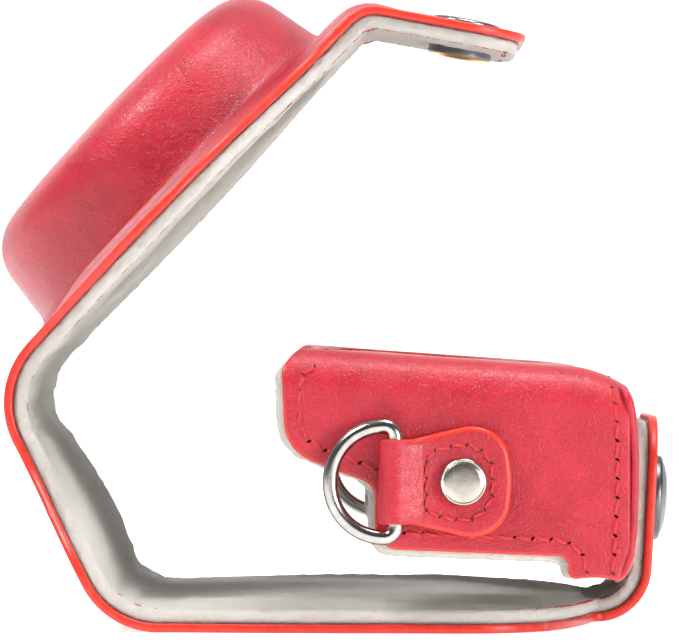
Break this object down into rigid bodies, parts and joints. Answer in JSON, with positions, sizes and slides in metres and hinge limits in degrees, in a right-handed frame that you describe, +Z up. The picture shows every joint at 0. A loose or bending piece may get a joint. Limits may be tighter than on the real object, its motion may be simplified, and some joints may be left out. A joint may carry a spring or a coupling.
{
  "type": "leather ever ready case",
  "caption": "Ever-ready case for a compact camera: a leather half-case in a fleece-lined wrap cover with a lens dome, a closing flap, strap rings and a tripod screw.",
  "frame": {"origin": "middle of the opened case's footprint on the table, directly below the centre of its overall box", "axes": "+X from the opened cover towards the tongue, +Y along the width of the case, +Z up"},
  "size_m": [0.098, 0.1174, 0.0908],
  "materials": {
    "cover_leather": "fine grain, semi-gloss, orange-red painted edges",
    "case_leather": "fine grain, semi-gloss, orange-red painted edges",
    "tab_leather": "fine grain, semi-gloss",
    "cover_fleece": "brushed fleece",
    "case_fleece": "brushed fleece",
    "pad": "foam strip covered in brushed fleece",
    "ring_steel": "satin",
    "rivet_nickel": "satin nickel",
    "catch_nickel": "satin nickel",
    "catch_dark": "dark satin",
    "catch_brass": "satin",
    "screw_steel": "knurled, satin",
    "thread": "waxed twisted thread"
  },
  "bodies": {
    "back_panel": {"back_leather": "cover_leather", "back_lining": "cover_fleece", "fold_1_leather": "cover_leather", "fold_1_lining": "cover_fleece", "fold_2_leather": "cover_leather", "fold_2_lining": "cover_fleece"},
    "half_case": {"tongue_leather": "cover_leather", "tongue_lining": "cover_fleece", "tongue_pad": "case_leather", "case_front_leather": "case_leather", "case_bottom_leather": "case_leather", "case_lining": "case_fleece", "base_pad": "pad", "screw_washer": "screw_steel", "strap_tab_near": "tab_leather", "strap_tab_far": "tab_leather", "rivets": "rivet_nickel", "rivet_burrs": "rivet_nickel", "catch_disc": "catch_nickel", "disc_burr": "catch_nickel", "case_thread": "thread", "tab_thread": "thread"},
    "top_panel": {"top_leather": "cover_leather", "top_lining": "cover_fleece", "fold_3_leather": "cover_leather", "fold_3_lining": "cover_fleece"},
    "front_panel": {"front_leather": "cover_leather", "front_lining": "cover_fleece", "dome_leather": "cover_leather", "dome_lining": "cover_fleece", "fold_4_leather": "cover_leather", "fold_4_lining": "cover_fleece"},
    "flap": {"flap_leather": "cover_leather", "flap_lining": "cover_fleece", "catch_cap": "catch_nickel", "catch_housing": "catch_dark", "catch_magnet": "catch_dark", "catch_core": "catch_brass"},
    "screw": {"tripod_screw": "screw_steel"},
    "near_ring": {"d_ring_near": "ring_steel"},
    "far_ring": {"d_ring_far": "ring_steel"}
  },
  "joints": [
    {"name": "tongue_fold", "type": "hinge", "parent": "back_panel", "child": "half_case", "pos_m": [0.04201, 0, 0.00263], "axis": [0, -1, 0], "range_deg": [-62, 0], "deforming": ["fold_1_leather", "fold_1_lining"]},
    {"name": "back_top_fold", "type": "hinge", "parent": "back_panel", "child": "top_panel", "pos_m": [-0.03093, 0, 0.00225], "axis": [0, 1, 0], "range_deg": [-50, 27.5], "deforming": ["fold_2_leather", "fold_2_lining"]},
    {"name": "top_front_fold", "type": "hinge", "parent": "top_panel", "child": "front_panel", "pos_m": [-0.04644, 0, 0.0333], "axis": [0, 1, 0], "range_deg": [-51, 9.5], "deforming": ["fold_3_leather", "fold_3_lining"]},
    {"name": "front_flap_fold", "type": "hinge", "parent": "front_panel", "child": "flap", "pos_m": [0.00353, 0, 0.08767], "axis": [0, 1, 0], "range_deg": [-57, 25], "deforming": ["fold_4_leather", "fold_4_lining"]},
    {"name": "screw_turn", "type": "hinge", "parent": "half_case", "child": "screw", "pos_m": [0.0416, 0.031, 0.0196], "axis": [1, 0, 0], "continuous": true},
    {"name": "near_ring_swing", "type": "hinge", "parent": "half_case", "child": "near_ring", "pos_m": [0.0077, -0.05635, 0.0211], "axis": [0, 0, 1], "range_deg": [0, 145]},
    {"name": "far_ring_swing", "type": "hinge", "parent": "half_case", "child": "far_ring", "pos_m": [0.0077, 0.05635, 0.0211], "axis": [0, 0, -1], "range_deg": [0, 145]}
  ]
}
